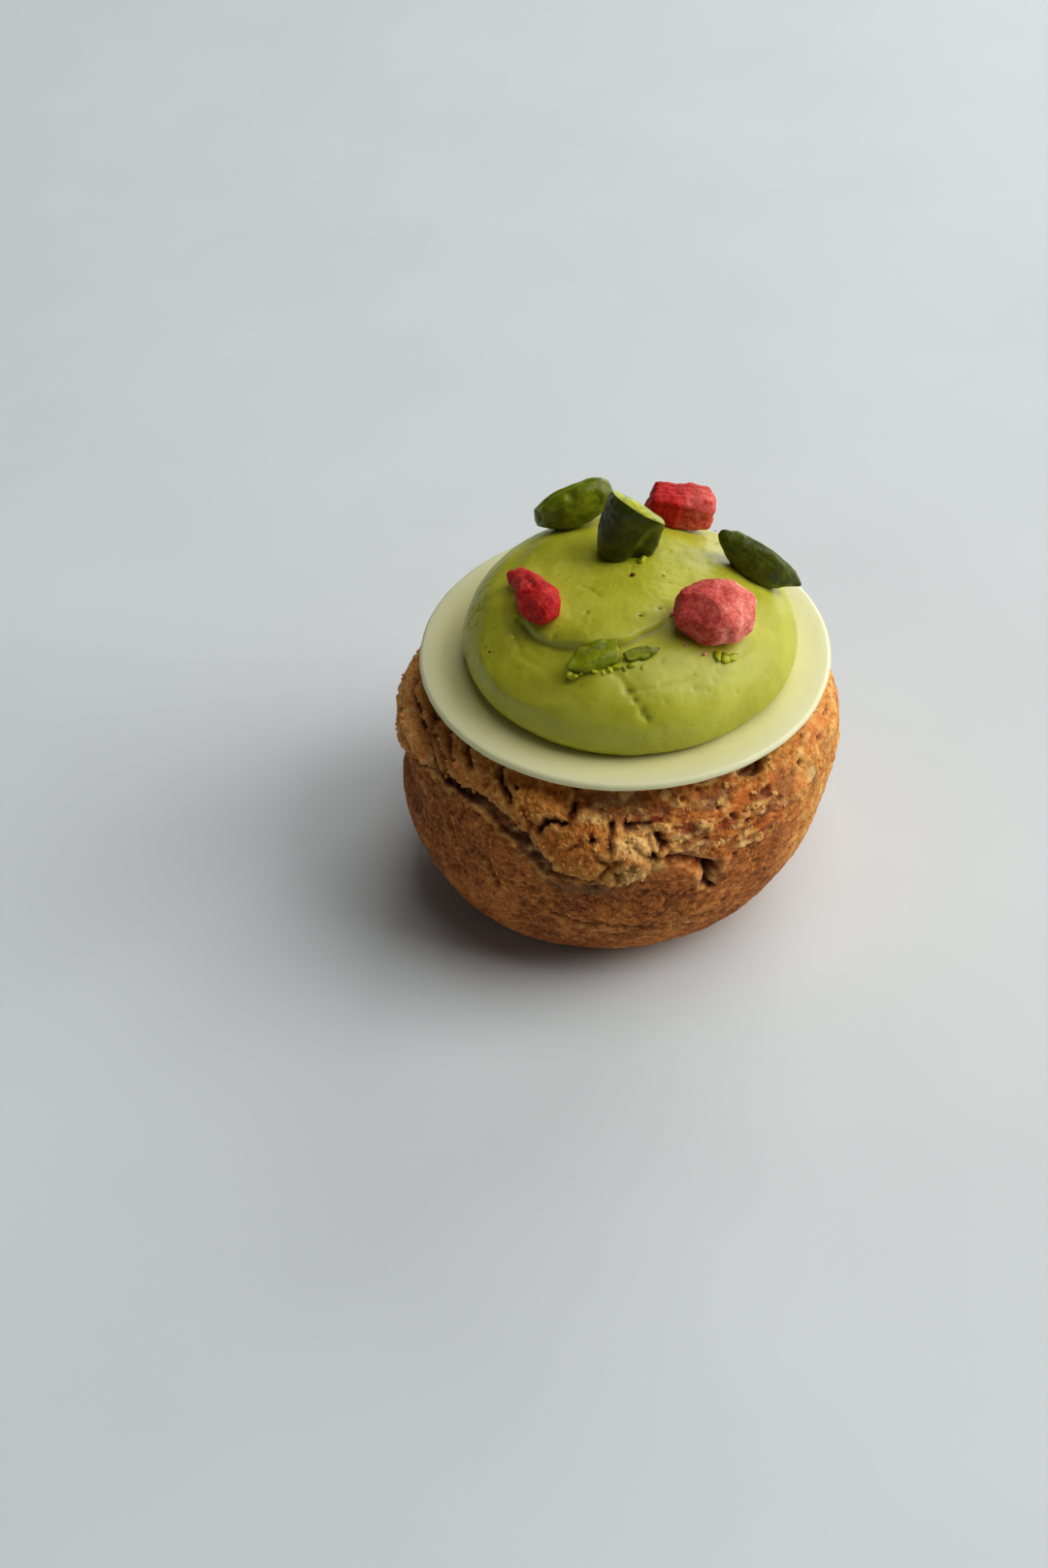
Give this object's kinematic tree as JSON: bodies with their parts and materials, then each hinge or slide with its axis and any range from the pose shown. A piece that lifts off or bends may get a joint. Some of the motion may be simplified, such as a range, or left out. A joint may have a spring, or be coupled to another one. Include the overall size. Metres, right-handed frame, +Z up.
{
  "type": "cream puff",
  "caption": "Round baked choux with a crackled crust, a thin chocolate disc, a low dome of piped nut cream and scattered nut and dried berry pieces on top.",
  "frame": {"origin": "middle of the base plane, on the flat underside of the choux it rests on", "axes": "+Z up; -Y towards the side with the hanging crust flap and the two small front kernel slivers; +X to the right when looking along +Y"},
  "size_m": [0.0611, 0.0633, 0.0595],
  "materials": {
    "choux_crust": "dry crackled crust",
    "white_chocolate": "smooth satin",
    "pistachio_cream": "soft satin",
    "pistachio_kernel": "waxy",
    "dried_berry": "dry, porous"
  },
  "bodies": {
    "root": {"choux_shell": "choux_crust", "chocolate_disc": "white_chocolate", "cream_dome": "pistachio_cream", "pistachio_left": "pistachio_kernel", "pistachio_centre": "pistachio_kernel", "pistachio_right": "pistachio_kernel", "pistachio_front_a": "pistachio_kernel", "pistachio_front_b": "pistachio_kernel", "berry_back": "dried_berry", "berry_left": "dried_berry", "berry_right": "dried_berry"}
  },
  "joints": []
}
